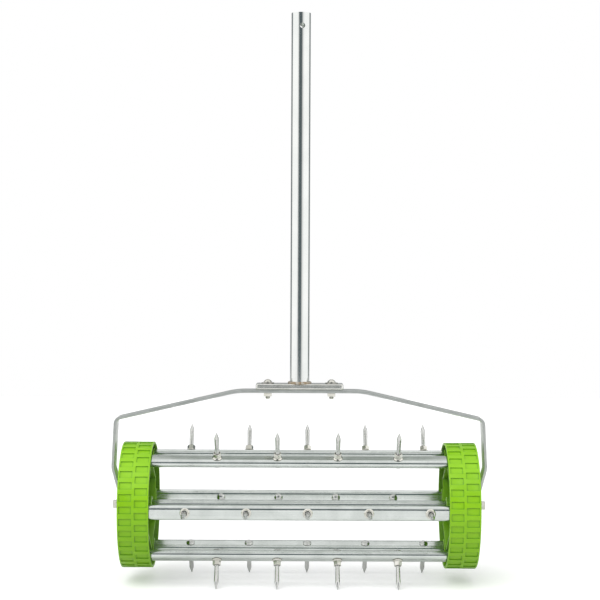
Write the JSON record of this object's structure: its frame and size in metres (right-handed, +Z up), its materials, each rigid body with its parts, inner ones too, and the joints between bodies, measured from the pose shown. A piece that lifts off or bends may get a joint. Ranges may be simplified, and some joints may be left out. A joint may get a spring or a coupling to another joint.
{
  "type": "core aerator",
  "caption": "Rolling lawn aerator: spiked drum of steel rails between green treaded wheels, turning in a bent-bar yoke with a bolted foot and upright handle tube.",
  "frame": {"origin": "on the ground, midway between the wheels and straight under the axle", "axes": "+X along the axle to the right wheel, +Y to the rear, +Z up along the handle tube"},
  "size_m": [0.4798, 0.226, 0.7276],
  "materials": {
    "tube_plating": "bright chrome plate on tube",
    "foot_plating": "bright zinc plate",
    "yoke_plating": "satin zinc plate",
    "rail_plating": "bright zinc plate with draw lines",
    "spike_steel": "zinc plated steel",
    "fastener_zinc": "slightly yellow zinc plate",
    "weld_metal": "plated weld bead with a brown tint",
    "wheel_plastic": "lime green moulded plastic, semi-gloss"
  },
  "bodies": {
    "yoke_frame": {"handle_tube": "tube_plating", "tube_weld": "weld_metal", "handle_foot": "foot_plating", "foot_bolts": "fastener_zinc", "foot_washers": "fastener_zinc", "foot_nuts": "fastener_zinc", "yoke": "yoke_plating", "axle_rod": "rail_plating", "axle_bolts": "fastener_zinc", "axle_washers": "fastener_zinc", "hub_washers": "fastener_zinc"},
    "spike_drum": {"wheel_left": "wheel_plastic", "wheel_right": "wheel_plastic", "rail_1": "rail_plating", "spikes_1": "spike_steel", "flange_nuts_1": "fastener_zinc", "rail_2": "rail_plating", "spikes_2": "spike_steel", "flange_nuts_2": "fastener_zinc", "rail_3": "rail_plating", "spikes_3": "spike_steel", "flange_nuts_3": "fastener_zinc", "rail_4": "rail_plating", "spikes_4": "spike_steel", "flange_nuts_4": "fastener_zinc", "rail_5": "rail_plating", "spikes_5": "spike_steel", "flange_nuts_5": "fastener_zinc", "rail_6": "rail_plating", "spikes_6": "spike_steel", "flange_nuts_6": "fastener_zinc"}
  },
  "joints": [
    {"name": "drum_spin", "type": "hinge", "parent": "yoke_frame", "child": "spike_drum", "pos_m": [0, 0, 0.09806], "axis": [1, 0, 0], "continuous": true}
  ]
}
